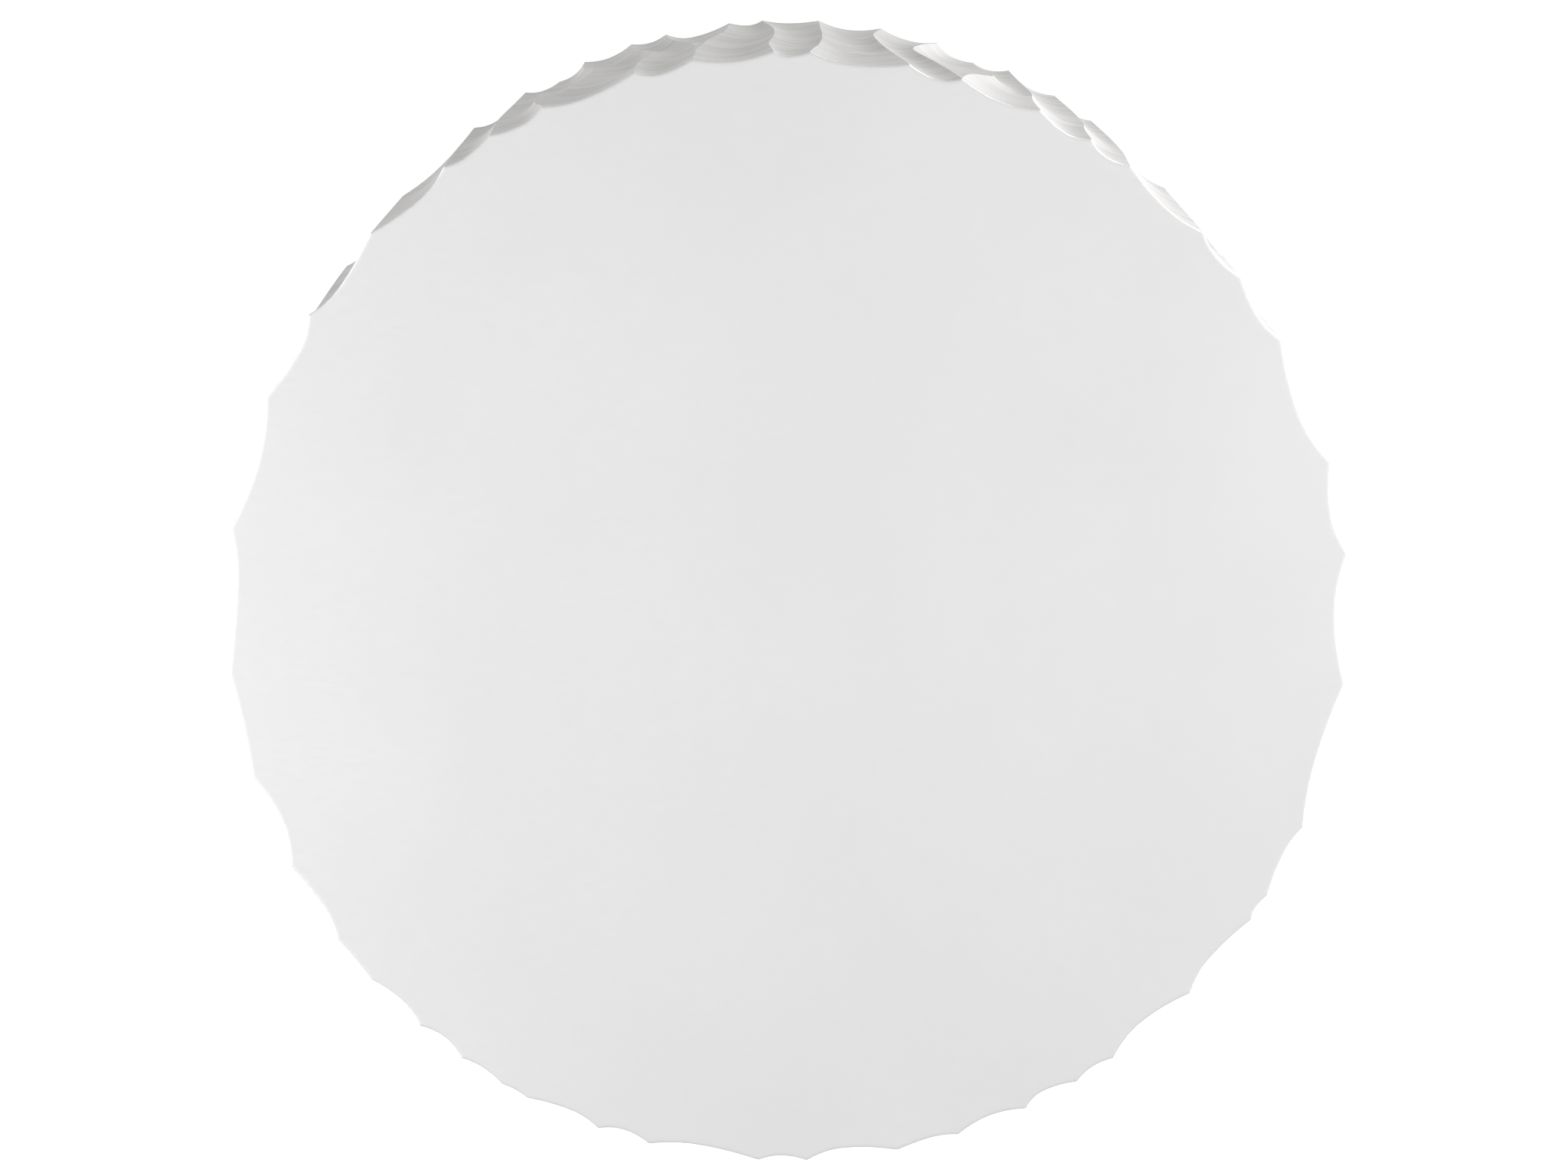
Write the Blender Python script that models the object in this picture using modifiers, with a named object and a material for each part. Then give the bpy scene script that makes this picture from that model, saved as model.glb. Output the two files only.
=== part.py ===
# Gouged aluminium drum table: a cast wall ring and a top plate, both scooped round the outside, bolted
# together from inside, on five levelling feet. Metres, +Z up, standing on z = 0, drum axis on the origin.

import math
from random import Random

import bmesh
import bpy

# Driving dimensions
DRUM_RADIUS = 0.350             # axis to the crests between the scoops
TABLE_HEIGHT = 0.380            # floor to table top
FLOOR_GAP = 0.010               # floor to the drum's lower edge, feet screwed right in
TOP_THICKNESS = 0.008
INNER_RADIUS = 0.336            # inside of the cast wall
FLANGE_RADIUS = 0.305           # inner edge of the wall's two inward flanges
TOP_FLANGE = 0.008              # thickness of the flange under the top plate
FOOT_FLANGE = 0.012             # thickness of the flange that holds the feet
BOLT_RADIUS = 0.320             # circle that the screws and the feet stand on
SCREW_COUNT = 8
FOOT_COUNT = 5
FIT_GAP = 0.0003                # clearance between two pieces that touch

# Crests between the scoops of the +Y side, anticlockwise. Each has its angle in degrees at the table top,
# at one, two and three quarters of the way down and at the foot, then how far it has sunk at the foot in
# millimetres. Two crests with one angle at the top fork below it, round a scoop that starts there.
CARVED_CRESTS = (
    (53.0, 52.3, 51.5, 51.8, 53.5, 0),
    (57.8, 57.6, 56.8, 57.0, 58.5, 0),
    (63.7, 63.8, 63.2, 63.9, 64.4, 0),
    (72.2, 70.7, 67.6, 68.6, 68.4, 5),
    (72.2, 74.2, 76.5, 75.2, 72.9, 0),
    (77.7, 79.1, 80.2, 80.6, 79.5, 0),
    (87.7, 86.7, 86.3, 86.4, 86.5, 0),
    (91.4, 91.9, 91.4, 91.6, 92.8, 0),
    (99.6, 99.5, 98.6, 96.8, 96.5, 0),
    (99.6, 99.5, 100.2, 102.6, 103.7, 0),
    (105.5, 105.6, 104.6, 106.9, 107.7, 0),
    (115.4, 113.0, 111.1, 112.8, 113.3, 0),
    (115.4, 117.0, 117.6, 117.0, 116.8, 5),
    (121.4, 121.9, 122.2, 121.4, 120.8, 0),
    (127.0, 127.2, 127.6, 127.4, 127.8, 0),
)
# Crests round the rest of the table top, by angle. Below it they wander at random.
PLAIN_CRESTS = (
    137, 147.5, 157, 171, 186, 197, 207, 216, 221.5, 228.5, 234, 239, 242, 250, 255.5, 267,
    272, 281.5, 288, 295.5, 301.5, 306, 316.5, 326.5, 329.5, 337.5, 353, 366.5, 376, 389.5, 397, 403,
)
CREST_SWAY = 0.22               # sideways wander of a crest, as a part of the narrower scoop beside it
FORK_SPREAD = 0.36              # how far a fork's crests part, as a part of that scoop
FORK_WIDTH = 8.0                # scoops on both sides of a fork are wider than this, in degrees
FORK_CHANCE = 0.45
SCOOP_DEPTH = 0.0016            # depth below its crests of a scoop one degree wide
SCOOP_GROWTH = 0.7              # power of the width that the depth grows by
QUARTERS = 4                    # stretches between a crest's stated angles
QUARTER_RINGS = 3               # mesh rings in one stretch
SCOOP_STRIPS = 3                # flat strips across one scoop

# Fasteners and feet
SCREW = {"shank": 0.003, "reach": 0.005, "head": 0.005, "head_height": 0.006, "socket": 0.0029}
WASHER = {"radius": 0.008, "thickness": 0.0016}
INSERT = {"radius": 0.007, "shoulder": 0.010, "shoulder_height": 0.002}
STEM = {"radius": 0.005, "top": 0.048, "chamfer": 0.001, "socket": 0.0029, "socket_depth": 0.005}
PAD = {"radius": 0.022, "underside": 0.0015, "chamfer": 0.002, "seat": 0.0055}
SOLE = {"radius": 0.018, "thickness": 0.0032}

TOP_UNDERSIDE = TABLE_HEIGHT - TOP_THICKNESS
WALL_TOP = TOP_UNDERSIDE - FIT_GAP
TOP_FLANGE_UNDERSIDE = WALL_TOP - TOP_FLANGE
FOOT_FLANGE_TOP = FLOOR_GAP + FOOT_FLANGE


# ---------------------------------------------------------------- scene, materials, helpers

def clear_scene():
    for old in list(bpy.data.objects):
        bpy.data.objects.remove(old, do_unlink=True)


def new_collection(name):
    group = bpy.data.collections.new(name)
    bpy.context.scene.collection.children.link(group)
    return group


def new_material(name, colour, metallic, roughness):
    finish = bpy.data.materials.new(name)
    finish.use_nodes = True
    shader = finish.node_tree.nodes["Principled BSDF"]
    shader.inputs["Base Color"].default_value = (*colour, 1.0)
    shader.inputs["Metallic"].default_value = metallic
    shader.inputs["Roughness"].default_value = roughness
    return finish


def new_object(name, mesh, group, finish=None):
    piece = bpy.data.objects.new(name, mesh)
    group.objects.link(piece)
    if finish and not mesh.materials:
        mesh.materials.append(finish)
    return piece


def make_cutter(name, mesh):
    piece = new_object(name, mesh, CUTTERS)
    piece.hide_render = True
    piece.display_type = "WIRE"
    return piece


def cut(piece, cutter):
    boolean = piece.modifiers.new(cutter.name, "BOOLEAN")
    boolean.operation = "DIFFERENCE"
    boolean.object = cutter


def evaluated_mesh(piece, name):
    graph = bpy.context.evaluated_depsgraph_get()
    mesh = bpy.data.meshes.new_from_object(piece.evaluated_get(graph))
    mesh.name = name
    return mesh


def turned_mesh(name, profile, segments, ring=False):
    # Solid of revolution about Z. The profile (radius, height) runs down the outside, top to bottom, from
    # the axis back to the axis, or as a closed loop for a ring.
    edges = [(i, i + 1) for i in range(len(profile) - 1)]
    if ring:
        edges.append((len(profile) - 1, 0))
    outline = bpy.data.meshes.new(name + "_profile")
    outline.from_pydata([(radius, 0.0, height) for radius, height in profile], edges, [])
    blank = new_object(name + "_blank", outline, CUTTERS)
    turn = blank.modifiers.new("turn", "SCREW")
    turn.steps = turn.render_steps = segments
    turn.use_merge_vertices = True
    turn.merge_threshold = 0.0001
    mesh = evaluated_mesh(blank, name)
    bpy.data.objects.remove(blank)
    mesh.set_sharp_from_angle(angle=math.radians(30))
    return mesh


def rods_mesh(name, places, radius, low, high, sides):
    # Upright rods, one at each (x, y) place.
    shape = bmesh.new()
    for x, y in places:
        rod = bmesh.ops.create_cone(shape, cap_ends=True, segments=sides, radius1=radius, radius2=radius,
                                    depth=high - low)
        bmesh.ops.translate(shape, verts=rod["verts"], vec=(x, y, (low + high) / 2))
    mesh = bpy.data.meshes.new(name)
    shape.to_mesh(mesh)
    shape.free()
    return mesh


def socketed_mesh(mesh, radius, low, high):
    # Cuts a hexagonal key socket into the end of a turned piece.
    blank = new_object("socket_blank", mesh, CUTTERS)
    cutter = make_cutter("socket_cutter", rods_mesh("socket", [(0.0, 0.0)], radius, low, high, 6))
    cut(blank, cutter)
    result = evaluated_mesh(blank, mesh.name)
    bpy.data.objects.remove(blank)
    bpy.data.objects.remove(cutter)
    return result


def circle_places(count, start):
    angles = [math.radians(start) + math.tau * i / count for i in range(count)]
    return [(BOLT_RADIUS * math.cos(angle), BOLT_RADIUS * math.sin(angle)) for angle in angles]


# ---------------------------------------------------------------- scooped outside of the drum

def wandering_crests():
    # Each plain crest sways from one quarter to the next, and a few between wide scoops fork.
    wander = Random(5)
    before = [CARVED_CRESTS[-1][0], *PLAIN_CRESTS[:-1]]
    after = [*PLAIN_CRESTS[1:], CARVED_CRESTS[0][0] + 360.0]
    crests = []
    for last, angle, following in zip(before, PLAIN_CRESTS, after):
        room = min(angle - last, following - angle)
        path = [angle] + [angle + wander.uniform(-room, room) * CREST_SWAY for _ in range(QUARTERS)]
        if room > FORK_WIDTH and wander.random() < FORK_CHANCE:
            start = wander.choice((0, 1, 2))
            parting = [min(1.0, max(0, quarter - start) / 2) * FORK_SPREAD * room for quarter in range(QUARTERS + 1)]
            crests.append([way - gap for way, gap in zip(path, parting)])
            crests.append([way + gap for way, gap in zip(path, parting)])
        else:
            crests.append(path)
    return crests


def crest_table():
    # Every crest anticlockwise, as its angles and its sink at the foot in metres. The first one is
    # repeated a turn later, so that each scoop lies between two neighbours in the table.
    table = [(crest[:-1], crest[-1] / 1000.0) for crest in CARVED_CRESTS]
    table += [(path, 0.0) for path in wandering_crests()]
    first_path, first_sink = table[0]
    table.append(([angle + 360.0 for angle in first_path], first_sink))
    return table


def crest_place(crest, fall):
    # Angle and radius of a crest. fall runs from 0 at the table top to QUARTERS at the foot.
    path, sink = crest
    quarter = min(int(fall), QUARTERS - 1)
    part = fall - quarter
    angle = path[quarter] * (1.0 - part) + path[quarter + 1] * part
    sunk = sink * max(0.0, 2.0 * fall / QUARTERS - 1.0)
    return angle, DRUM_RADIUS - sunk


def drum_point(table, column, height):
    scoop = (column // SCOOP_STRIPS) % (len(table) - 1)
    across = (column % SCOOP_STRIPS) / SCOOP_STRIPS
    fall = QUARTERS * (TABLE_HEIGHT - height) / (TABLE_HEIGHT - FLOOR_GAP)
    start, start_radius = crest_place(table[scoop], fall)
    end, end_radius = crest_place(table[scoop + 1], fall)
    angle = math.radians(start + (end - start) * across)
    depth = SCOOP_DEPTH * max(0.0, end - start) ** SCOOP_GROWTH
    radius = start_radius + (end_radius - start_radius) * across - depth * 4.0 * across * (1.0 - across)
    return (radius * math.cos(angle), radius * math.sin(angle), height)


def scooped_mesh(name, low, high, levels):
    # A flat grid rolled round the axis, welded at its seam and closed with a face at each end.
    table = crest_table()
    columns = (len(table) - 1) * SCOOP_STRIPS
    shape = bmesh.new()
    bmesh.ops.create_grid(shape, x_segments=columns, y_segments=levels, size=0.5)
    for vert in shape.verts:
        column = round((vert.co.x + 0.5) * columns) % columns
        vert.co = drum_point(table, column, low + (high - low) * (vert.co.y + 0.5))
    bmesh.ops.remove_doubles(shape, verts=shape.verts, dist=0.00001)
    rims = [edge for edge in shape.edges if edge.is_boundary]
    bmesh.ops.holes_fill(shape, edges=rims, sides=0)
    bmesh.ops.recalc_face_normals(shape, faces=shape.faces)
    mesh = bpy.data.meshes.new(name)
    shape.to_mesh(mesh)
    shape.free()
    return mesh


# ---------------------------------------------------------------- pieces

def make_wall(screw_places, foot_places):
    wall = new_object("wall_casting", scooped_mesh("wall", FLOOR_GAP, WALL_TOP, QUARTERS * QUARTER_RINGS),
                      TABLE, POLISHED_ALUMINIUM)
    past = 0.02                 # how far the cutters run past the wall's ends
    hollow = [
        (0.0, WALL_TOP + past),
        (FLANGE_RADIUS, WALL_TOP + past),
        (FLANGE_RADIUS, TOP_FLANGE_UNDERSIDE),
        (INNER_RADIUS, TOP_FLANGE_UNDERSIDE),
        (INNER_RADIUS, FOOT_FLANGE_TOP),
        (FLANGE_RADIUS, FOOT_FLANGE_TOP),
        (FLANGE_RADIUS, FLOOR_GAP - past),
        (0.0, FLOOR_GAP - past),
    ]
    cut(wall, make_cutter("hollow_cutter", turned_mesh("hollow", hollow, 72)))
    cut(wall, make_cutter("screw_hole_cutter", rods_mesh(
        "screw_holes", screw_places, SCREW["shank"] + FIT_GAP, TOP_FLANGE_UNDERSIDE - 0.002, WALL_TOP + 0.002, 16)))
    cut(wall, make_cutter("insert_hole_cutter", rods_mesh(
        "insert_holes", foot_places, INSERT["radius"] + FIT_GAP, FLOOR_GAP - 0.002, FOOT_FLANGE_TOP + 0.002, 24)))


def make_top(screw_places):
    top = new_object("top_plate", scooped_mesh("top", TOP_UNDERSIDE, TABLE_HEIGHT, 1), TABLE, SATIN_ALUMINIUM)
    depth = SCREW["reach"] + FIT_GAP
    cut(top, make_cutter("tapped_hole_cutter", rods_mesh(
        "tapped_holes", screw_places, SCREW["shank"] + FIT_GAP, TOP_UNDERSIDE - 0.002, TOP_UNDERSIDE + depth, 16)))


def make_screws(places):
    # Socket-head screws pushed up through the flange into the top plate, each with a flat washer.
    washer_top = TOP_FLANGE_UNDERSIDE - FIT_GAP
    washer_low = washer_top - WASHER["thickness"]
    hole = SCREW["shank"] + FIT_GAP
    washer = turned_mesh("washer", [
        (WASHER["radius"], washer_top),
        (WASHER["radius"], washer_low),
        (hole, washer_low),
        (hole, washer_top),
    ], 16, ring=True)
    head_top = washer_low - FIT_GAP
    head_low = head_top - SCREW["head_height"]
    screw = turned_mesh("screw", [
        (0.0, TOP_UNDERSIDE + SCREW["reach"]),
        (SCREW["shank"], TOP_UNDERSIDE + SCREW["reach"]),
        (SCREW["shank"], head_top),
        (SCREW["head"], head_top),
        (SCREW["head"], head_low),
        (0.0, head_low),
    ], 16)
    screw = socketed_mesh(screw, SCREW["socket"], head_low - 0.002, head_low + SCREW["head_height"] / 2)
    for number, (x, y) in enumerate(places, start=1):
        new_object(f"top_washer_{number}", washer, TABLE, ZINC_STEEL).location = (x, y, 0.0)
        new_object(f"top_screw_{number}", screw, TABLE, ZINC_STEEL).location = (x, y, 0.0)


def make_feet(places):
    # A shouldered steel insert in the flange, and a foot of stem, pad and sole that screws down out of it.
    bore = STEM["radius"] + FIT_GAP
    shoulder_low = FOOT_FLANGE_TOP + FIT_GAP
    shoulder_top = shoulder_low + INSERT["shoulder_height"]
    insert = turned_mesh("insert", [
        (INSERT["shoulder"], shoulder_top),
        (INSERT["shoulder"], shoulder_low),
        (INSERT["radius"], shoulder_low),
        (INSERT["radius"], FLOOR_GAP),
        (bore, FLOOR_GAP),
        (bore, shoulder_top),
    ], 24, ring=True)
    stem_low = PAD["seat"] + FIT_GAP
    stem = turned_mesh("stem", [
        (0.0, STEM["top"]),
        (STEM["radius"] - STEM["chamfer"], STEM["top"]),
        (STEM["radius"], STEM["top"] - STEM["chamfer"]),
        (STEM["radius"], stem_low),
        (0.0, stem_low),
    ], 16)
    stem = socketed_mesh(stem, STEM["socket"], STEM["top"] - STEM["socket_depth"], STEM["top"] + 0.002)
    pad_top = FLOOR_GAP - FIT_GAP
    pocket_radius = SOLE["radius"] + FIT_GAP
    pocket_roof = SOLE["thickness"] + FIT_GAP
    pad = turned_mesh("pad", [
        (0.0, PAD["seat"]),
        (bore, PAD["seat"]),
        (bore, pad_top),
        (PAD["radius"] - PAD["chamfer"], pad_top),
        (PAD["radius"], pad_top - PAD["chamfer"]),
        (PAD["radius"], PAD["underside"]),
        (pocket_radius, PAD["underside"]),
        (pocket_radius, pocket_roof),
        (0.0, pocket_roof),
    ], 24)
    sole = turned_mesh("sole", [
        (0.0, SOLE["thickness"]),
        (SOLE["radius"], SOLE["thickness"]),
        (SOLE["radius"], 0.0),
        (0.0, 0.0),
    ], 24)
    for number, (x, y) in enumerate(places, start=1):
        new_object(f"foot_insert_{number}", insert, TABLE, ZINC_STEEL).location = (x, y, 0.0)
        axis = bpy.data.objects.new(f"foot_axis_{number}", None)
        axis.location = (x, y, 0.0)
        TABLE.objects.link(axis)
        for part, mesh, finish in (("stem", stem, ZINC_STEEL), ("pad", pad, BLACK_NYLON), ("sole", sole, RUBBER)):
            new_object(f"foot_{part}_{number}", mesh, TABLE, finish).parent = axis


clear_scene()
TABLE = new_collection("gouged_drum_table")
CUTTERS = new_collection("cutters")
POLISHED_ALUMINIUM = new_material("polished_aluminium", (0.80, 0.79, 0.78), 1.0, 0.18)
SATIN_ALUMINIUM = new_material("satin_aluminium", (0.78, 0.78, 0.78), 1.0, 0.38)
ZINC_STEEL = new_material("zinc_plated_steel", (0.60, 0.61, 0.62), 1.0, 0.35)
BLACK_NYLON = new_material("black_nylon", (0.02, 0.02, 0.02), 0.0, 0.45)
RUBBER = new_material("sole_rubber", (0.05, 0.05, 0.05), 0.0, 0.85)

SCREW_PLACES = circle_places(SCREW_COUNT, 22.5)
FOOT_PLACES = circle_places(FOOT_COUNT, 90.0)
make_wall(SCREW_PLACES, FOOT_PLACES)
make_top(SCREW_PLACES)
make_screws(SCREW_PLACES)
make_feet(FOOT_PLACES)
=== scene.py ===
import math
import random

import bmesh
import bpy
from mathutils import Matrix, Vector


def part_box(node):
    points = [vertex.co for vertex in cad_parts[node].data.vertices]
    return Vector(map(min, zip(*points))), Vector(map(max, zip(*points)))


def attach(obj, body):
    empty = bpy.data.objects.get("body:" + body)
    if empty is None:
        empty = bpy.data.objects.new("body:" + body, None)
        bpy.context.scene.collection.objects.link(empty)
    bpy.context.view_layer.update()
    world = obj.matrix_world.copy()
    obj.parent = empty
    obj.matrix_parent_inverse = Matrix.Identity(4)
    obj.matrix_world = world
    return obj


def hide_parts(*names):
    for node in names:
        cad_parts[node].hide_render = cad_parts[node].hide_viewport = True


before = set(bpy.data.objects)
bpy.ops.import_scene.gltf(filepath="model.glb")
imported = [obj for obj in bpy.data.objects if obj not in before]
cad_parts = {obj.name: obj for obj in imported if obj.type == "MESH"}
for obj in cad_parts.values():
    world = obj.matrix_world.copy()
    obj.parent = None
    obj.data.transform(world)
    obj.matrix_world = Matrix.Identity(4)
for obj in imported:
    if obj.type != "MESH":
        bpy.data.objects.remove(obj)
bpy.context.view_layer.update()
print("frame loaded:", len(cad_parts), "nodes")

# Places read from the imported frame, in metres.
wallLow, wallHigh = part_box("wall_casting")
plateLow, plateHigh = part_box("top_plate")
tableHeight = plateHigh.z
footLine = wallLow.z            # lower edge of the drum
fallHeight = tableHeight - footLine
footNumbers = range(1, sum(name.startswith("foot_pad_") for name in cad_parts) + 1)
screwNumbers = range(1, sum(name.startswith("top_screw_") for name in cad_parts) + 1)


def middle(node):
    low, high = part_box(node)
    return (low.x + high.x) / 2, (low.y + high.y) / 2


class Wire:
    # A shader socket that arithmetic can be written on.
    def __init__(self, tree, socket):
        self.tree = tree
        self.socket = socket

    def node(self, kind, settings=None, output=0, **values):
        made = self.tree.nodes.new(kind)
        for name, value in (settings or {}).items():
            setattr(made, name, value)
        for name, value in values.items():
            # in0, in1 and so on are places; any other name is a socket's own, with _ for a space.
            byPlace = name.startswith("in") and name[2:].isdigit()
            target = made.inputs[int(name[2:]) if byPlace else name.replace("_", " ")]
            if isinstance(value, Wire):
                self.tree.links.new(value.socket, target)
            else:
                target.default_value = value
        return Wire(self.tree, made.outputs[output])

    def math(self, operation, *values):
        sockets = {f"in{index}": value for index, value in enumerate(values)}
        return self.node("ShaderNodeMath", {"operation": operation}, **sockets)

    def __add__(self, other):
        return self.math("ADD", self, other)

    __radd__ = __add__

    def __sub__(self, other):
        return self.math("SUBTRACT", self, other)

    def __rsub__(self, other):
        return self.math("SUBTRACT", other, self)

    def __mul__(self, other):
        return self.math("MULTIPLY", self, other)

    __rmul__ = __mul__

    def clamp(self):
        return self.node("ShaderNodeClamp", None, 0, Value=self)

    def between(self, low, high):
        # 0 below low, 1 above high, smooth between them.
        return self.node("ShaderNodeMapRange", {"interpolation_type": "SMOOTHSTEP"}, 0,
                         Value=self, From_Min=low, From_Max=high)

    def mixColour(self, first, second):
        # first where this mask is 0, second where it is 1.
        return self.node("ShaderNodeMix", {"data_type": "RGBA"}, 2, in0=self, in6=first, in7=second)


def newMaterial(name, constants):
    finish = bpy.data.materials.new(name)
    finish.use_nodes = True
    tree = finish.node_tree
    shader = tree.nodes["Principled BSDF"]
    for socket, value in constants.items():
        shader.inputs[socket].default_value = value
    place = Wire(tree, tree.nodes.new("ShaderNodeTexCoord").outputs["Object"])

    def feed(socket, wire):
        tree.links.new(wire.socket, shader.inputs[socket])

    return finish, place, feed


def stretched(place, scale):
    return place.node("ShaderNodeMapping", None, 0, Vector=place, Scale=scale)


def noise(place, scale, detail=2.0, roughness=0.5):
    return place.node("ShaderNodeTexNoise", None, 0, Vector=place, Scale=scale,
                      Detail=detail, Roughness=roughness)


def bump(height, distance):
    return height.node("ShaderNodeBump", None, 0, Height=height, Distance=distance, Strength=1.0)


satinLook = {
    "colour": (0.80, 0.80, 0.80),
    "colourSpread": 0.06,       # the palest and darkest metal, as a part of the colour
    "mottle": 0.042,            # how much of that spread the mottle uses
    "mottleScale": 260.0,
    "cloudScale": 6.0,
    "grainScale": (90.0, 900.0, 90.0),
    "roughness": 0.42,
    "cloudRoughness": 0.05,
    "grainRoughness": 0.08,
    "reliefDepth": 0.000012,
    "sideDepth": 0.0005,        # below this the plate's side is ground like the wall
    "sideBlend": 0.0001,
}


def makeSatin():
    finish, place, feed = newMaterial("satinAluminium", {"Specular Tint": gougeLook["edgeTint"]})
    mottle = noise(place, satinLook["mottleScale"], 3.0)
    cloud = noise(place, satinLook["cloudScale"], 2.0)
    grain = noise(stretched(place, satinLook["grainScale"]), 1.0, 2.0)
    tone = (mottle - 0.5) * satinLook["mottle"] + (cloud - 0.5) * satinLook["mottle"] + 0.5
    spread = satinLook["colourSpread"]
    dark = tuple(value * (1.0 - spread) for value in satinLook["colour"]) + (1.0,)
    pale = tuple(value * (1.0 + spread) for value in satinLook["colour"]) + (1.0,)
    height = place.node("ShaderNodeSeparateXYZ", None, 2, Vector=place)
    brink = tableHeight - satinLook["sideDepth"]
    blend = satinLook["sideBlend"]
    face = height.between(brink - blend, brink + blend)     # 1 on the flat face, 0 on the side
    grind, chatter, stain = gougeMarks(place, cloud)
    side = stain.mixColour(gougeLook["colour"], gougeLook["stain"])
    feed("Base Color", face.mixColour(side, tone.mixColour(dark, pale)))
    clouded = (cloud - 0.5) * satinLook["cloudRoughness"]
    grained = (grain - 0.5) * satinLook["grainRoughness"]
    satin = clouded + grained + satinLook["roughness"]
    feed("Roughness", face * (satin - gougeLook["roughness"]) + gougeLook["roughness"])
    feed("Metallic", face * (1.0 - gougeLook["metallic"]) + gougeLook["metallic"])
    fine = (grain * 0.6 + mottle) * face * satinLook["reliefDepth"]
    marks = grind * gougeLook["grindDepth"] + chatter * gougeLook["chatterDepth"]
    feed("Normal", bump(fine + marks * (1.0 - face), 1.0))
    return finish


gougeLook = {
    "colour": (0.475, 0.47, 0.463, 1.0),
    "stain": (0.28, 0.273, 0.262, 1.0),     # duller metal left in the low spots
    "cast": (0.36, 0.36, 0.355, 1.0),       # rough casting inside the drum
    "metallic": 0.3,            # the fine grind scatters most of the light
    "edgeTint": (0.6, 0.6, 0.6, 1.0),       # reflectance at a glancing look
    "roughness": 0.60,
    "rippleScale": 48.0,        # soft unevenness left by the grinder
    "rippleDepth": 0.00022,
    "grindScale": (22.0, 22.0, 560.0),      # fine grinding marks run round the drum
    "grindDepth": 0.00005,
    "chatterScale": (8.0, 8.0, 95.0),       # broader bands among them
    "chatterDepth": 0.00030,
    "cloudScale": 14.0,
    "grindStain": 1.2,          # how strongly each of the three lays the duller metal
    "chatterStain": 1.0,
    "cloudStain": 0.3,
    "chatterRoughness": 0.25,
    "cloudRoughness": 0.16,
    "insideRadius": 0.3366,     # nearer the axis than this the wall is left as cast
    "insideBlend": 0.0003,
    "castScale": 420.0,
    "castDepth": 0.0004,
    "castRoughness": 0.12,
}


def gougeMarks(place, cloud):
    # Fine grinding marks, the broader bands among them, and where both leave duller metal.
    grind = noise(stretched(place, gougeLook["grindScale"]), 1.0, 4.0, 0.6)
    chatter = noise(stretched(place, gougeLook["chatterScale"]), 1.0, 2.0, 0.5)
    marked = (grind - 0.5) * gougeLook["grindStain"] + (chatter - 0.5) * gougeLook["chatterStain"]
    stain = (marked + cloud * gougeLook["cloudStain"]).clamp()
    return grind, chatter, stain


def makeGouged():
    finish, place, feed = newMaterial("gougedAluminium", {
        "Metallic": gougeLook["metallic"],
        "Specular Tint": gougeLook["edgeTint"],
    })
    finish.node_tree.nodes["Principled BSDF"].distribution = "GGX"
    flat = place.node("ShaderNodeVectorMath", {"operation": "MULTIPLY"}, 0, in0=place, in1=(1.0, 1.0, 0.0))
    radius = place.node("ShaderNodeVectorMath", {"operation": "LENGTH"}, 1, in0=flat)
    inside = gougeLook["insideRadius"]
    outside = radius.between(inside - gougeLook["insideBlend"], inside)
    ripple = noise(place, gougeLook["rippleScale"], 2.0)
    cloud = noise(place, gougeLook["cloudScale"], 3.0)
    grind, chatter, stain = gougeMarks(place, cloud)
    skin = noise(place, gougeLook["castScale"], 4.0, 0.7)
    cast = outside.mixColour(gougeLook["cast"], gougeLook["colour"])
    feed("Base Color", stain.mixColour(cast, gougeLook["stain"]))
    clouded = (cloud - 0.5) * gougeLook["cloudRoughness"]
    chattered = (chatter - 0.5) * gougeLook["chatterRoughness"]
    polish = clouded + chattered + gougeLook["roughness"]
    feed("Roughness", (1.0 - outside) * gougeLook["castRoughness"] + polish)
    marks = grind * gougeLook["grindDepth"] + chatter * gougeLook["chatterDepth"]
    relief = ripple * gougeLook["rippleDepth"] + marks
    rough = skin * gougeLook["castDepth"] * (1.0 - outside)
    feed("Normal", bump(relief * outside + rough, 1.0))
    return finish


zincLook = {
    "scale": 160.0,
    "dark": (0.55, 0.57, 0.60, 1.0),
    "pale": (0.70, 0.69, 0.64, 1.0),
    "roughness": 0.2,
    "roughSpread": 0.25,
    "relief": 0.00003,
}
nylonLook = {
    "scale": 900.0,
    "dark": (0.012, 0.012, 0.013, 1.0),
    "pale": (0.035, 0.035, 0.036, 1.0),
    "roughness": 0.38,
    "roughSpread": 0.2,
    "relief": 0.00005,
}
rubberLook = {
    "scale": 1500.0,
    "dark": (0.03, 0.03, 0.03, 1.0),
    "pale": (0.07, 0.068, 0.065, 1.0),
    "roughness": 0.72,
    "roughSpread": 0.2,
    "relief": 0.0001,
}


def makeSpeckled(name, look, constants):
    # Fine specks that vary the colour, the gloss and the surface together.
    finish, place, feed = newMaterial(name, constants)
    speck = noise(place, look["scale"], 3.0)
    feed("Base Color", speck.mixColour(look["dark"], look["pale"]))
    feed("Roughness", speck * look["roughSpread"] + look["roughness"])
    feed("Normal", bump(speck, look["relief"]))
    return finish


satinAluminium = makeSatin()
gougedAluminium = makeGouged()
zincSteel = makeSpeckled("zincPlatedSteel", zincLook, {"Metallic": 1.0})
blackNylon = makeSpeckled("blackNylon", nylonLook, {"Specular IOR Level": 0.45})
soleRubber = makeSpeckled("soleRubber", rubberLook, {"Specular IOR Level": 0.3})
print("materials made")


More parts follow.
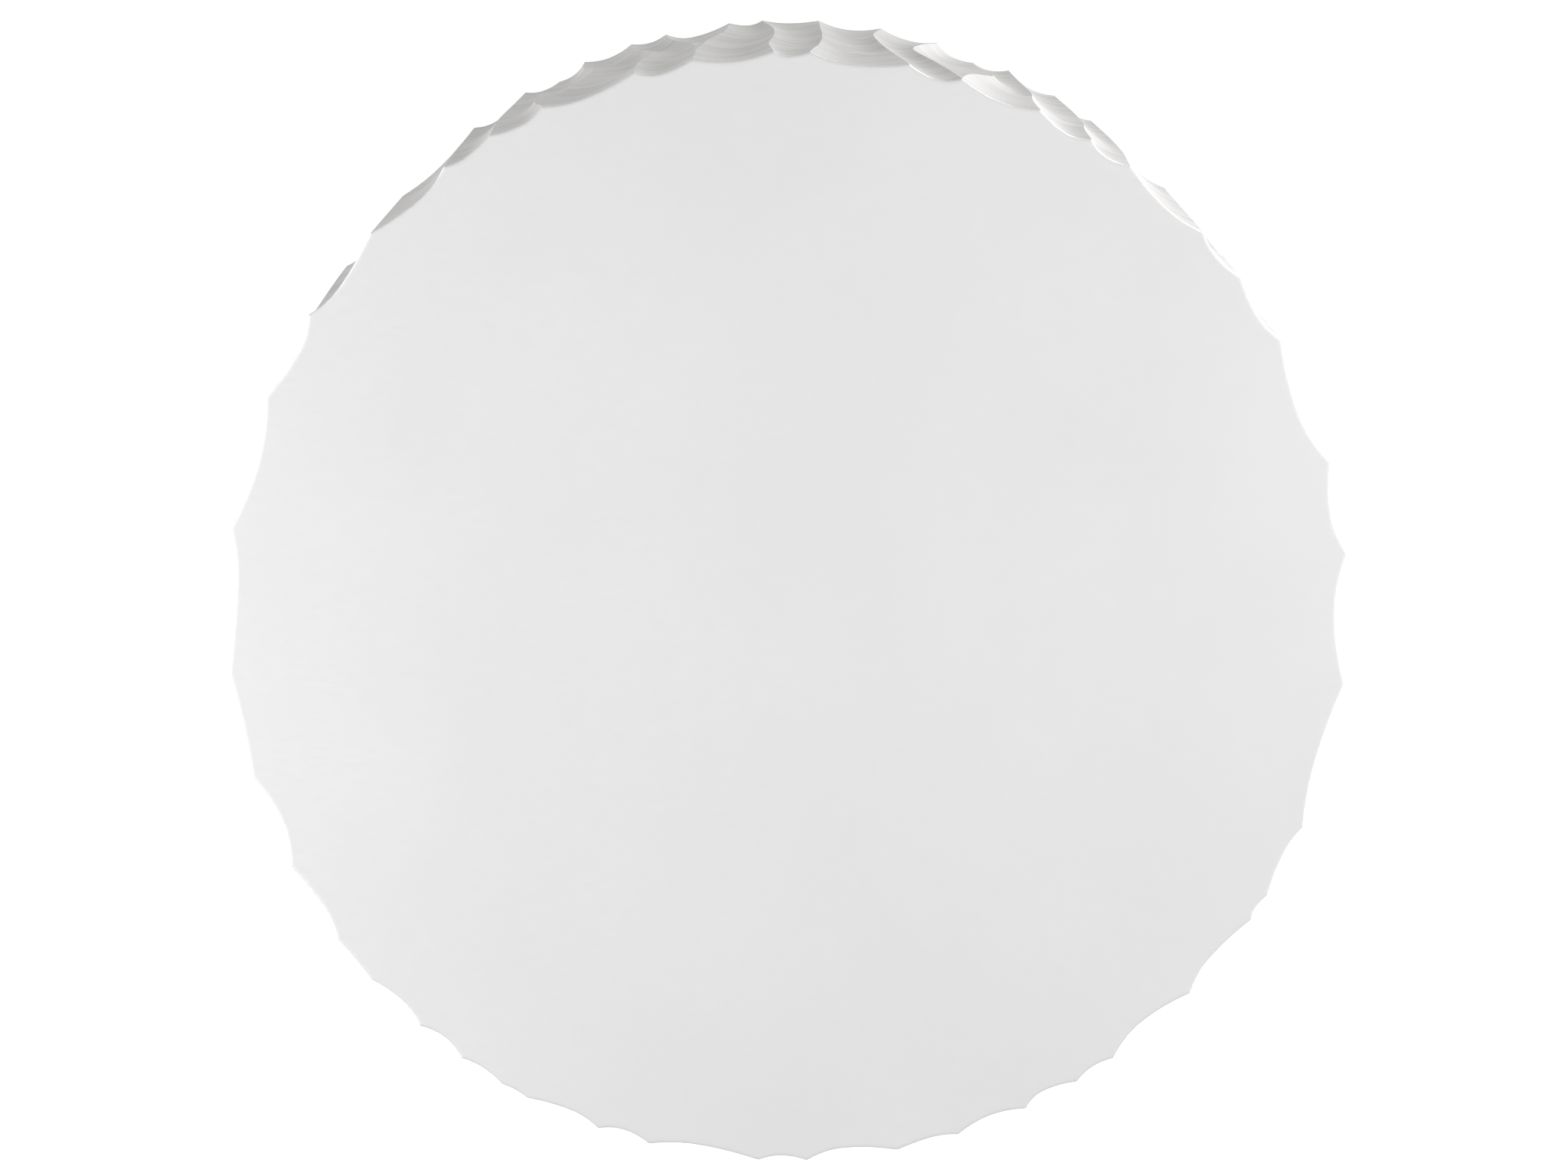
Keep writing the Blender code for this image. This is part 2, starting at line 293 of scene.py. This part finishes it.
def finishPiece(shape, name, finish, body, nodes, sharp=35.0):
    mesh = bpy.data.meshes.new(name)
    shape.to_mesh(mesh)
    shape.free()
    mesh.materials.append(finish)
    mesh.shade_smooth()
    mesh.set_sharp_from_angle(angle=math.radians(sharp))
    piece = bpy.data.objects.new(name, mesh)
    bpy.context.scene.collection.objects.link(piece)
    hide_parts(*nodes)
    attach(piece, body)
    return piece


def turned(profile, centre, segments):
    # Spins a closed profile of (radius, height) points about an upright axis through centre.
    shape = bmesh.new()
    points = [shape.verts.new((centre[0] + radius, centre[1], height)) for radius, height in profile]
    edges = [shape.edges.new(pair) for pair in zip(points, points[1:] + points[:1])
             if pair[0].co.x > centre[0] + 1e-7 or pair[1].co.x > centre[0] + 1e-7]
    bmesh.ops.spin(shape, geom=points + edges, cent=(*centre, 0.0), axis=(0.0, 0.0, 1.0),
                   angle=math.tau, steps=segments, use_merge=True)
    bmesh.ops.remove_doubles(shape, verts=shape.verts, dist=1e-6)
    bmesh.ops.recalc_face_normals(shape, faces=shape.faces)
    return shape


drumLook = {
    "radius": 0.350,            # axis to the crests between the scoops
    "scoopDepth": 0.0016,       # depth below its crests of a scoop one degree wide
    "scoopGrowth": 0.7,         # power of the width that the depth grows by
    "deepest": 0.0122,          # no scoop goes deeper, so the wall stays whole
    "crestSway": 0.22,          # sideways wander of a crest, as a part of the narrower scoop beside it
    "forkSpread": 0.36,         # how far a fork's crests part, as a part of that scoop
    "forkWidth": 8.0,           # scoops on both sides of a fork are wider than this, in degrees
    "forkChance": 0.45,
    "quarterRings": 26,         # mesh rings in a quarter of the height
    "crestWear": 0.00012,       # height polished off a crest
    "edgeWear": 0.0005,         # rounding of the table's edge
    "innerRadius": 0.336,
    "flangeRadius": 0.305,      # opening inside the two flanges
    "topFlange": 0.008,
    "footFlange": 0.012,
    "seamBevel": 0.0003,        # broken edge at the joint of the wall and the top
    "flangeBevel": 0.001,
    "flangeFillet": 0.003,
    "screwHole": 0.0033,        # radii
    "insertHole": 0.0073,
    "strokeBlend": 0.03,        # how softly gouge strokes run into each other
    "strokeFade": 0.4,          # how much shallower a stroke is at its ends
}
quarters = 4

# Crests of the +Y side, anticlockwise: angle in degrees at the table top, at one, two and three quarters
# of the way down and at the foot, then how far it has sunk at the foot in millimetres.
carvedCrests = (
    (53.0, 52.3, 51.5, 51.8, 53.5, 0),
    (57.8, 57.6, 56.8, 57.0, 58.5, 0),
    (63.7, 63.8, 63.2, 63.9, 64.4, 0),
    (72.2, 70.7, 67.6, 68.6, 68.4, 5),
    (72.2, 74.2, 76.5, 75.2, 72.9, 0),
    (77.7, 79.1, 80.2, 80.6, 79.5, 0),
    (87.7, 86.7, 86.3, 86.4, 86.5, 0),
    (91.4, 91.9, 91.4, 91.6, 92.8, 0),
    (99.6, 99.5, 98.6, 96.8, 96.5, 0),
    (99.6, 99.5, 100.2, 102.6, 103.7, 0),
    (105.5, 105.6, 104.6, 106.9, 107.7, 0),
    (115.4, 113.0, 111.1, 112.8, 113.3, 0),
    (115.4, 117.0, 117.6, 117.0, 116.8, 5),
    (121.4, 121.9, 122.2, 121.4, 120.8, 0),
    (127.0, 127.2, 127.6, 127.4, 127.8, 0),
)
# Crests round the rest of the table top. Below it they wander at random.
plainCrests = (
    137, 147.5, 157, 171, 186, 197, 207, 216, 221.5, 228.5, 234, 239, 242, 250, 255.5, 267,
    272, 281.5, 288, 295.5, 301.5, 306, 316.5, 326.5, 329.5, 337.5, 353, 366.5, 376, 389.5, 397, 403,
)
# Mesh columns across one scoop, close together at its crests.
scoopColumns = (0.0, 0.008, 0.025, 0.07, 0.15, 0.26, 0.38, 0.5, 0.62, 0.74, 0.85, 0.93, 0.975, 0.992)


def wanderingCrests():
    wander = random.Random(5)
    before = [carvedCrests[-1][0], *plainCrests[:-1]]
    after = [*plainCrests[1:], carvedCrests[0][0] + 360.0]
    sway = drumLook["crestSway"]
    crests = []
    for last, angle, following in zip(before, plainCrests, after):
        room = min(angle - last, following - angle)
        path = [angle] + [angle + wander.uniform(-room, room) * sway for _ in range(quarters)]
        if room > drumLook["forkWidth"] and wander.random() < drumLook["forkChance"]:
            start = wander.choice((0, 1, 2))
            reach = drumLook["forkSpread"] * room
            parting = [min(1.0, max(0, quarter - start) / 2) * reach for quarter in range(quarters + 1)]
            crests.append([way - gap for way, gap in zip(path, parting)])
            crests.append([way + gap for way, gap in zip(path, parting)])
        else:
            crests.append(path)
    return crests


def crestTable():
    table = [(crest[:-1], crest[-1] / 1000.0) for crest in carvedCrests]
    table += [(path, 0.0) for path in wanderingCrests()]
    firstPath, firstSink = table[0]
    table.append(([angle + 360.0 for angle in firstPath], firstSink))
    return table


def smoothPath(points, along):
    # A smooth curve through evenly spaced values.
    place = min(max(along, 0.0), len(points) - 1.0)
    step = min(int(place), len(points) - 2)
    part = place - step
    a = points[max(step - 1, 0)]
    b = points[step]
    c = points[step + 1]
    d = points[min(step + 2, len(points) - 1)]
    slopeB = (c - a) / 2
    slopeC = (d - b) / 2
    square = part * part
    cube = square * part
    return (b * (2 * cube - 3 * square + 1) + slopeB * (cube - 2 * square + part)
            + c * (3 * square - 2 * cube) + slopeC * (cube - square))


crests = crestTable()
scoopCount = len(crests) - 1


def strokeTable():
    # Two to four overlapping gouge strokes down each scoop: (middle, half length, deepest line, depth).
    chisel = random.Random(21)
    table = []
    for _ in range(scoopCount):
        count = chisel.choice((2, 2, 3, 3, 4))
        offset = chisel.uniform(-0.4, 0.4)
        strokes = []
        for number in range(count):
            centre = quarters * (number + 0.5 + offset * 0.5) / count + chisel.uniform(-0.2, 0.2)
            strokes.append((centre, quarters * chisel.uniform(0.6, 0.85) / count, chisel.uniform(0.36, 0.64),
                            chisel.uniform(0.85, 1.12)))
        table.append(strokes)
    return table


strokes = strokeTable()


def hollow(scoop, across, fall):
    # Depth of a scoop at a place, as a part of its full depth. Strokes blend where they overlap.
    edge = 4.0 * across * (1.0 - across)
    if edge <= 0.0:
        return 0.0
    soft = drumLook["strokeBlend"]
    fade = drumLook["strokeFade"]
    total = 0.0
    for centre, reach, deepest, depth in strokes[scoop]:
        side = (deepest - across) / deepest if across < deepest else (across - deepest) / (1.0 - deepest)
        bowl = depth * (1.0 - side * side) * (1.0 - fade * min(4.0, ((fall - centre) / reach) ** 2))
        total += math.exp(bowl / soft)
    return min(soft * math.log(total), 1.2 * edge ** 0.8)


def drumPoint(column, height, inset):
    # A point on the scooped skin, or inset below it.
    scoop, place = divmod(column, len(scoopColumns))
    scoop %= scoopCount
    across = scoopColumns[place]
    fall = quarters * (tableHeight - height) / fallHeight
    start = smoothPath(crests[scoop][0], fall)
    end = max(start, smoothPath(crests[scoop + 1][0], fall))
    late = max(0.0, 2.0 * fall / quarters - 1.0)
    sunk = (crests[scoop][1] * (1.0 - across) + crests[scoop + 1][1] * across) * late
    angle = math.radians(start + (end - start) * across)
    width = (end - start) * (1.0 - math.exp(-(end - start) / 2.0))
    depth = drumLook["scoopDepth"] * width ** drumLook["scoopGrowth"]
    depth = min(depth * max(0.0, hollow(scoop, across, fall)), drumLook["deepest"])
    wear = drumLook["crestWear"]
    worn = math.hypot(depth, wear) - wear + wear * 0.5
    radius = drumLook["radius"] - sunk - worn - inset
    return radius * math.cos(angle), radius * math.sin(angle), height


def rolledGrid(rows):
    # A flat grid rolled round the axis. A row is (height, inset) on the scooped skin,
    # or (height, radius, "plain") on a plain round surface.
    columns = scoopCount * len(scoopColumns)
    shape = bmesh.new()
    bmesh.ops.create_grid(shape, x_segments=columns, y_segments=len(rows) - 1, size=0.5)
    angles = {}
    for vert in shape.verts:
        column = round((vert.co.x + 0.5) * columns) % columns
        row = rows[round((vert.co.y + 0.5) * (len(rows) - 1))]
        if row[-1] == "plain":
            if column not in angles:
                x, y, _ = drumPoint(column, tableHeight, 0.0)
                angles[column] = math.atan2(y, x)
            vert.co = (row[1] * math.cos(angles[column]), row[1] * math.sin(angles[column]), row[0])
        else:
            vert.co = drumPoint(column, row[0], row[1])
    return shape


def cutHoles(piece, places, radius, low, high):
    # Upright holes from low to high, cut a little past both.
    overcut = 0.002
    low, high = low - overcut, high + overcut
    rods = bmesh.new()
    for x, y in places:
        rod = bmesh.ops.create_cone(rods, cap_ends=True, segments=48, radius1=radius, radius2=radius,
                                    depth=high - low)
        bmesh.ops.translate(rods, verts=rod["verts"], vec=(x, y, (low + high) / 2))
    mesh = bpy.data.meshes.new("holes")
    rods.to_mesh(mesh)
    rods.free()
    cutter = bpy.data.objects.new("holes", mesh)
    bpy.context.scene.collection.objects.link(cutter)
    boolean = piece.modifiers.new("holes", "BOOLEAN")
    boolean.object = cutter
    boolean.solver = "MANIFOLD"
    graph = bpy.context.evaluated_depsgraph_get()
    result = bpy.data.meshes.new_from_object(piece.evaluated_get(graph))
    piece.modifiers.remove(boolean)
    bpy.data.objects.remove(cutter)
    old = piece.data
    piece.data = result
    bpy.data.meshes.remove(old)
    result.shade_smooth()
    result.set_sharp_from_angle(angle=math.radians(40))


def makeWall():
    look = drumLook
    wear = look["edgeWear"]
    seam = look["seamBevel"]
    rings = quarters * look["quarterRings"]
    top = wallHigh.z
    skinTop = top - seam
    skinFoot = footLine + wear
    rows = [(top, seam), (skinTop, 0.0)]
    rows += [(skinTop + (skinFoot - skinTop) * ring / rings, 0.0) for ring in range(1, rings)]
    rows += [(skinFoot, 0.0), (footLine + wear * 0.3, wear * 0.3), (footLine, wear)]
    flange = look["flangeRadius"]
    inner = look["innerRadius"]
    bevel = look["flangeBevel"]
    fillet = look["flangeFillet"]
    footTop = footLine + look["footFlange"]
    topUnder = top - look["topFlange"]
    inside = [(footLine, flange + bevel), (footLine + bevel, flange), (footTop - bevel, flange),
              (footTop, flange + bevel), (footTop, inner - fillet), (footTop + bevel, inner - bevel),
              (footTop + fillet, inner), (topUnder - fillet, inner), (topUnder - bevel, inner - bevel),
              (topUnder, inner - fillet), (topUnder, flange + bevel), (topUnder + bevel, flange),
              (top - bevel, flange), (top, flange + bevel)]
    rows += [(height, radius, "plain") for height, radius in inside]
    rows.append((top, seam))
    shape = rolledGrid(rows)
    bmesh.ops.remove_doubles(shape, verts=shape.verts, dist=2e-6)
    bmesh.ops.recalc_face_normals(shape, faces=shape.faces)
    piece = finishPiece(shape, "gougedWall", gougedAluminium, "drum", ["wall_casting"])
    screwPlaces = [middle(f"top_screw_{number}") for number in screwNumbers]
    insertPlaces = [middle(f"foot_insert_{number}") for number in footNumbers]
    cutHoles(piece, screwPlaces, look["screwHole"], topUnder, top)
    cutHoles(piece, insertPlaces, look["insertHole"], footLine, footTop)
    return piece


def makeTop():
    wear = drumLook["edgeWear"]
    seam = drumLook["seamBevel"]
    under = plateLow.z
    straight = tableHeight - wear
    rows = [(under, 0.004), (under, seam), (under + seam, 0.0)]
    rows += [(under + (straight - under) * part, 0.0) for part in (0.25, 0.5, 0.75, 1.0)]
    rows += [(tableHeight - wear * (1.0 - math.sin(turn)), wear * (1.0 - math.cos(turn)))
             for turn in (math.radians(30), math.radians(60), math.radians(90))]
    rows.append((tableHeight, 0.0025))
    shape = rolledGrid(rows)
    bmesh.ops.remove_doubles(shape, verts=shape.verts, dist=2e-6)
    rims = [edge for edge in shape.edges if edge.is_boundary]
    bmesh.ops.holes_fill(shape, edges=rims, sides=0)
    bmesh.ops.recalc_face_normals(shape, faces=shape.faces)
    return finishPiece(shape, "satinTop", satinAluminium, "drum", ["top_plate"])


wall = makeWall()
print("wall made:", len(wall.data.polygons), "faces")
top = makeTop()
print("top made:", len(top.data.polygons), "faces")

footLook = {
    "threadPitch": 0.0015,
    "threadDepth": 0.00075,
    "neck": 0.0045,             # plain part of the stem below the thread
    "socketRadius": 0.002,      # socket in the stem's upper end
    "socketDepth": 0.0045,
    "flutes": 18,               # finger flutes round the pad
    "fluteDepth": 0.0007,
    "padBevel": 0.0009,
    "padCollar": 0.55,          # the raised collar, as a part of the pad's radius
    "collarHeight": 0.0022,
    "soleSeat": 0.0017,         # how far the sole is let into the pad
    "treadRings": 3,            # grooves moulded in the sole
    "treadDepth": 0.0007,
    "treadWidth": 0.0016,
}


def makeStem(number):
    node = f"foot_stem_{number}"
    low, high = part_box(node)
    centre = middle(node)
    radius = (high.x - low.x) / 2
    pitch = footLook["threadPitch"]
    root = radius - footLook["threadDepth"]
    neck = low.z + footLook["neck"]
    turns = int((high.z - 0.001 - neck) / pitch)
    profile = [(0.0, low.z), (radius - 0.0004, low.z), (radius, low.z + 0.0004),
               (radius, neck - 0.0004), (root, neck)]
    for turn in range(turns):
        foot = neck + turn * pitch
        profile += [(root, foot + 0.15 * pitch), (radius, foot + 0.5 * pitch),
                    (radius, foot + 0.6 * pitch), (root, foot + 0.95 * pitch)]
    crown = high.z
    socket = footLook["socketRadius"]
    depth = footLook["socketDepth"]
    profile += [(root, crown - 0.0006), (root - 0.0004, crown), (socket + 0.0004, crown),
                (socket, crown - 0.0005), (socket, crown - depth + 0.0005), (0.0, crown - depth)]
    shape = turned(profile, centre, 28)
    return finishPiece(shape, f"threadedStem{number}", zincSteel,
                       f"foot_{number}", [node], 30.0)


def makePad(number):
    node = f"foot_pad_{number}"
    low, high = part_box(node)
    centre = middle(node)
    radius = (high.x - low.x) / 2
    hole = soleRadius(number)
    bevel = footLook["padBevel"]
    collar = radius * footLook["padCollar"]
    step = high.z - footLook["collarHeight"]
    seat = low.z + footLook["soleSeat"]
    profile = [(0.0, seat), (hole, seat), (hole, low.z), (radius - bevel, low.z),
               (radius - bevel * 0.3, low.z + bevel * 0.3), (radius, low.z + bevel),
               (radius, step - bevel * 2), (radius - bevel * 0.6, step - bevel * 0.6),
               (radius - bevel * 2, step), (collar + 0.001, step + 0.0006), (collar, step + 0.0012),
               (collar, high.z - 0.0004), (collar - 0.0004, high.z), (0.0, high.z)]
    shape = turned(profile, centre, footLook["flutes"] * 6)
    for vert in shape.verts:
        x, y = vert.co.x - centre[0], vert.co.y - centre[1]
        reach = math.hypot(x, y)
        if reach > radius - bevel * 2.2:
            wave = 0.5 - 0.5 * math.cos(footLook["flutes"] * math.atan2(y, x))
            keep = 1.0 - footLook["fluteDepth"] * wave ** 2 / reach
            vert.co.x = centre[0] + x * keep
            vert.co.y = centre[1] + y * keep
    return finishPiece(shape, f"fluteEdgedPad{number}", blackNylon,
                       f"foot_{number}", [node], 40.0)


def soleRadius(number):
    low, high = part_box(f"foot_sole_{number}")
    return (high.x - low.x) / 2


def makeSole(number):
    node = f"foot_sole_{number}"
    low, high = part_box(node)
    centre = middle(node)
    radius = soleRadius(number)
    step = radius / (footLook["treadRings"] + 1)
    wide = footLook["treadWidth"] / 2
    narrow = wide - 0.0003
    bottom = low.z + footLook["treadDepth"]
    profile = [(0.0, low.z)]
    for ring in range(1, footLook["treadRings"] + 1):
        groove = ring * step
        profile += [(groove - wide, low.z), (groove - narrow, bottom),
                    (groove + narrow, bottom), (groove + wide, low.z)]
    profile += [(radius - 0.0005, low.z), (radius, low.z + 0.0005), (radius, high.z), (0.0, high.z)]
    shape = turned(profile, centre, 72)
    return finishPiece(shape, f"treadSole{number}", soleRubber, f"foot_{number}", [node])


for number in footNumbers:
    makeStem(number)
    makePad(number)
    makeSole(number)
print("feet made:", len(footNumbers))

# Screws, washers and inserts keep the frame's shape.
for name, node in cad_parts.items():
    if name.startswith(("top_screw", "top_washer", "foot_insert")):
        node.data.materials.clear()
        node.data.materials.append(zincSteel)
print("fasteners finished")


studio = {
    "floorSize": 60.0,
    "floorGlow": 0.86,
    "worldStrength": 0.25,
    # name, angle round the drum and rise above the floor in degrees, watts
    "sidePanels": (
        ("rightPanel", 1.0, 20.0, 122.0),
        ("backPanel", 34.0, 30.0, 84.0),
        ("leftPanel", 186.0, 32.0, 108.0),
    ),
    "panelSize": 1.5,
    "panelDistance": 3.0,
    "panelAim": 0.2,            # height that the side panels point at
    "overhead": {"centre": (0.27, -1.75, 4.2), "reach": 2.5, "gap": 0.6, "watts": 49.5},
    "tilt": 9.64,               # camera off the table's axis, in degrees
    "distance": 3.15,
    "lens": 116.26,
    "shift": (-0.00215, 0.0179),
}


def makeFloor():
    shape = bmesh.new()
    bmesh.ops.create_grid(shape, x_segments=1, y_segments=1, size=studio["floorSize"] / 2)
    mesh = bpy.data.meshes.new("floor")
    shape.to_mesh(mesh)
    shape.free()
    finish, _, _ = newMaterial("paleFloor", {
        "Base Color": (0.2, 0.2, 0.2, 1.0),
        "Roughness": 0.7,
        "Specular IOR Level": 0.1,
        "Emission Color": (1.0, 1.0, 1.0, 1.0),
        "Emission Strength": studio["floorGlow"],
    })
    mesh.materials.append(finish)
    floor = bpy.data.objects.new("floor", mesh)
    bpy.context.scene.collection.objects.link(floor)


def hangLight(name, width, height, watts):
    light = bpy.data.lights.new(name, "AREA")
    light.shape = "RECTANGLE"
    light.size = width
    light.size_y = height
    light.energy = watts
    lamp = bpy.data.objects.new(name, light)
    lamp.visible_camera = False
    bpy.context.scene.collection.objects.link(lamp)
    return lamp


def hangPanel(name, angle, rise, watts):
    # A soft square light aimed at the drum.
    distance = studio["panelDistance"]
    aim = studio["panelAim"]
    turn = math.radians(angle)
    lift = math.radians(rise)
    lamp = hangLight(name, studio["panelSize"], studio["panelSize"], watts)
    lamp.location = (distance * math.cos(lift) * math.cos(turn),
                     distance * math.cos(lift) * math.sin(turn), aim + distance * math.sin(lift))
    lamp.rotation_euler = (Vector((0.0, 0.0, aim)) - lamp.location).to_track_quat("-Z", "Y").to_euler()


def hangOverhead():
    # Four panels flat above the table, set round the gap that the camera looks through.
    ring = studio["overhead"]
    long = ring["reach"] + ring["gap"] / 2
    short = ring["reach"] - ring["gap"] / 2
    far = long / 2
    near = short / 2
    panels = ((-near, far, long, short), (far, near, short, long),
              (near, -far, long, short), (-far, -near, short, long))
    for number, (x, y, width, depth) in enumerate(panels, 1):
        lamp = hangLight(f"overheadPanel{number}", width, depth, ring["watts"] / 4)
        lamp.location = (ring["centre"][0] + x, ring["centre"][1] + y, ring["centre"][2])


makeFloor()
world = bpy.data.worlds.new("studio")
world.use_nodes = True
background = world.node_tree.nodes["Background"]
background.inputs["Color"].default_value = (1.0, 1.0, 1.0, 1.0)
background.inputs["Strength"].default_value = studio["worldStrength"]
bpy.context.scene.world = world
for panel in studio["sidePanels"]:
    hangPanel(*panel)
hangOverhead()

tilt = math.radians(studio["tilt"])
lensData = bpy.data.cameras.new("camera")
lensData.lens = studio["lens"]
lensData.sensor_width = 36.0
lensData.shift_x, lensData.shift_y = studio["shift"]
camera = bpy.data.objects.new("camera", lensData)
camera.location = (0.0, studio["distance"] * math.sin(tilt),
                   tableHeight + studio["distance"] * math.cos(tilt))
camera.rotation_euler = (-tilt, 0.0, 0.0)
bpy.context.scene.collection.objects.link(camera)
bpy.context.scene.camera = camera
bpy.context.scene.view_settings.view_transform = "Standard"
print("studio set")
